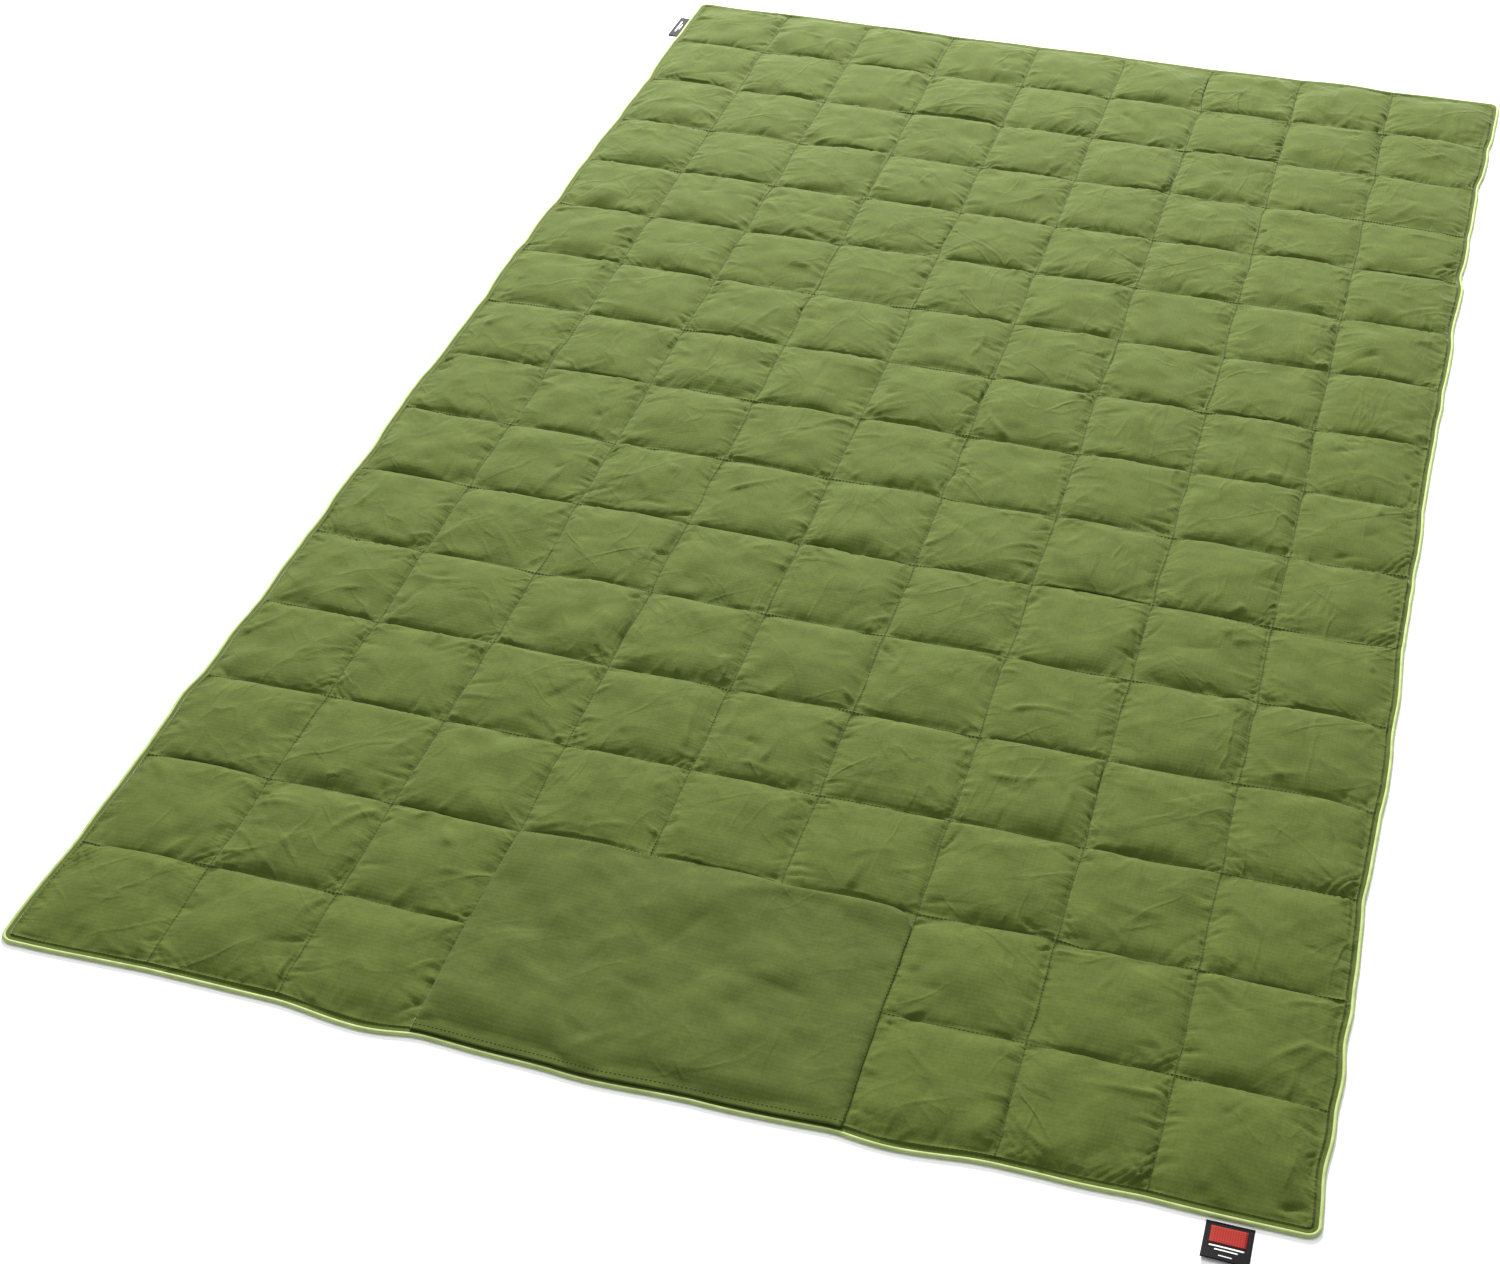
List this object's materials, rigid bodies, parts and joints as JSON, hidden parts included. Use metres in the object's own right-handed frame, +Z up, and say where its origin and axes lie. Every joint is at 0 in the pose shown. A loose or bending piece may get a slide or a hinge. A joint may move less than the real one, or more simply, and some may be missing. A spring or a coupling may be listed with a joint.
{
  "type": "camp quilt",
  "caption": "Flat rectangular camp quilt, box-quilted with fibre filling, with a piped edge, a patch pocket at the foot and two small woven tabs; folds crosswise.",
  "frame": {"origin": "middle of the footprint of the whole quilt, tabs included, on the surface it lies on", "axes": "+X across the quilt from its left edge to its right edge, +Y from the foot edge with the pocket to the head edge, +Z up out of the face cloth"},
  "size_m": [1.2152, 2.0363, 0.018],
  "materials": {
    "face_cloth": "brushed olive green cloth",
    "back_cloth": "smooth olive green lining cloth",
    "batting": "white hollow-fibre batting",
    "thread": "dark green sewing thread",
    "piping_cloth": "lime green woven piping cloth",
    "piping_cord": "white twisted filler cord",
    "woven_tab": "black woven tab"
  },
  "bodies": {
    "foot_panel": {"foot_face_fabric": "face_cloth", "foot_batting": "batting", "foot_back_fabric": "back_cloth", "foot_quilting_thread": "thread", "foot_left_piping": "piping_cloth", "foot_left_piping_cord": "piping_cord", "foot_right_piping": "piping_cloth", "foot_right_piping_cord": "piping_cord", "foot_piping": "piping_cloth", "foot_piping_cord": "piping_cord", "pocket_panel": "face_cloth", "pocket_stitching": "thread"},
    "lower_panel": {"lower_face_fabric": "face_cloth", "lower_batting": "batting", "lower_back_fabric": "back_cloth", "lower_quilting_thread": "thread", "lower_left_piping": "piping_cloth", "lower_left_piping_cord": "piping_cord", "lower_right_piping": "piping_cloth", "lower_right_piping_cord": "piping_cord"},
    "upper_panel": {"upper_face_fabric": "face_cloth", "upper_batting": "batting", "upper_back_fabric": "back_cloth", "upper_quilting_thread": "thread", "upper_left_piping": "piping_cloth", "upper_left_piping_cord": "piping_cord", "upper_right_piping": "piping_cloth", "upper_right_piping_cord": "piping_cord"},
    "head_panel": {"head_face_fabric": "face_cloth", "head_batting": "batting", "head_back_fabric": "back_cloth", "head_quilting_thread": "thread", "head_left_piping": "piping_cloth", "head_left_piping_cord": "piping_cord", "head_right_piping": "piping_cloth", "head_right_piping_cord": "piping_cord", "head_piping": "piping_cloth", "head_piping_cord": "piping_cord"},
    "brand_label": {"brand_label": "woven_tab"},
    "side_label": {"side_label": "woven_tab"}
  },
  "joints": [
    {"name": "foot_fold", "type": "hinge", "parent": "foot_panel", "child": "lower_panel", "pos_m": [0.00765, -0.47585, 0.0375], "axis": [1, 0, 0], "range_deg": [0, 180]},
    {"name": "middle_fold", "type": "hinge", "parent": "lower_panel", "child": "upper_panel", "pos_m": [0.00765, 0.01815, 0.028], "axis": [1, 0, 0], "range_deg": [0, 180]},
    {"name": "head_fold", "type": "hinge", "parent": "upper_panel", "child": "head_panel", "pos_m": [0.00765, 0.51215, 0.0185], "axis": [1, 0, 0], "range_deg": [0, 180]},
    {"name": "brand_label_hinge", "type": "hinge", "parent": "foot_panel", "child": "brand_label", "pos_m": [0.53465, -0.97985, 0.002], "axis": [1, 0, 0], "range_deg": [-150, 0]},
    {"name": "side_label_hinge", "type": "hinge", "parent": "head_panel", "child": "side_label", "pos_m": [-0.59035, 0.93515, 0.002], "axis": [0, -1, 0], "range_deg": [-150, 0]}
  ]
}
